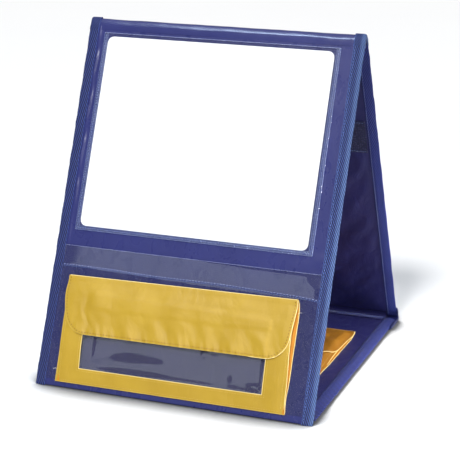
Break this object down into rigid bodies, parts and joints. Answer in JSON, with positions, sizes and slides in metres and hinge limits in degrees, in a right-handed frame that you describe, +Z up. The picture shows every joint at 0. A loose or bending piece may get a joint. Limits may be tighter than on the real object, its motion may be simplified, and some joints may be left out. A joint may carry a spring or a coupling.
{
  "type": "tabletop pocket chart",
  "caption": "Folding A-frame chart with a large clear card pocket, a strip pocket, clear pocket rows on the back, and flap pouches on the front and base.",
  "frame": {"origin": "underside of the base panel, at the middle of the width and midway between the front and rear feet", "axes": "+Z up, the front panel faces -Y, +X to the right seen from the front"},
  "size_m": [0.3238, 0.336, 0.3844],
  "materials": {
    "blue_vinyl": "supported vinyl, glossy",
    "navy_lining": "coated nylon lining",
    "binding_tape": "ribbed woven tape",
    "yellow_fabric": "coated yellow nylon",
    "clear_vinyl": "clear soft vinyl",
    "white_card": "laminated write-and-wipe card",
    "hook_tape": "hook tape",
    "loop_tape": "loop tape",
    "board": "grey board"
  },
  "bodies": {
    "base": {"base_board": "board", "base_cover": "blue_vinyl", "base_lining": "navy_lining", "base_tape_left": "binding_tape", "base_tape_right": "binding_tape", "rear_fold_band": "blue_vinyl", "base_closing_loop": "loop_tape", "base_pouch_back": "yellow_fabric", "base_pouch_gusset": "yellow_fabric", "base_pouch_front": "yellow_fabric", "base_pouch_window": "clear_vinyl", "base_pouch_loop_strip": "loop_tape"},
    "back": {"back_board": "board", "back_cover": "blue_vinyl", "back_lining": "navy_lining", "back_tape_left": "binding_tape", "back_tape_right": "binding_tape", "back_loop_band": "loop_tape", "back_pocket_row_1": "clear_vinyl", "back_pocket_row_2": "clear_vinyl", "back_pocket_row_3": "clear_vinyl", "back_pocket_row_4": "clear_vinyl", "back_pocket_row_5": "clear_vinyl"},
    "front": {"front_board": "board", "front_cover": "blue_vinyl", "front_lining": "navy_lining", "front_tape_left": "binding_tape", "front_tape_right": "binding_tape", "ridge_band": "blue_vinyl", "display_pocket": "clear_vinyl", "strip_pocket": "clear_vinyl", "front_pouch_back": "yellow_fabric", "front_pouch_gusset": "yellow_fabric", "front_pouch_front": "yellow_fabric", "front_pouch_window": "clear_vinyl", "front_pouch_loop_strip": "loop_tape"},
    "card": {"write_wipe_card": "white_card"},
    "front_flap": {"front_pouch_flap": "yellow_fabric", "front_flap_hook_strip": "hook_tape"},
    "base_flap": {"base_pouch_flap": "yellow_fabric", "base_flap_hook_strip": "hook_tape"},
    "closing_tab": {"closing_tab": "navy_lining", "closing_hook": "hook_tape"}
  },
  "joints": [
    {"name": "rear_fold", "type": "hinge", "parent": "base", "child": "back", "pos_m": [0, 0.16291, 0.005], "axis": [-1, 0, 0], "range_deg": [0, 109.5]},
    {"name": "ridge_fold", "type": "hinge", "parent": "back", "child": "front", "pos_m": [0, 0, 0.37966], "axis": [1, 0, 0], "range_deg": [0, 45.75]},
    {"name": "tab_fold", "type": "hinge", "parent": "front", "child": "closing_tab", "pos_m": [0, -0.16115, 0.00675], "axis": [1, 0, 0], "range_deg": [0, 64]},
    {"name": "card_slide", "type": "slide", "parent": "front", "child": "card", "axis": [0, 0.3987, 0.9171], "range_m": [0, 0.245]},
    {"name": "front_flap_hinge", "type": "hinge", "parent": "front", "child": "front_flap", "pos_m": [0, -0.12218, 0.1171], "axis": [-1, 0, 0], "range_deg": [0, 150]},
    {"name": "base_flap_hinge", "type": "hinge", "parent": "base", "child": "base_flap", "pos_m": [0, 0.09, 0.00755], "axis": [-1, 0, 0], "range_deg": [0, 105]}
  ],
  "couplings": [
    {"joint": "ridge_fold", "follows": "rear_fold", "ratio": 0.41781},
    {"joint": "tab_fold", "follows": "rear_fold", "ratio": 0.58447}
  ]
}
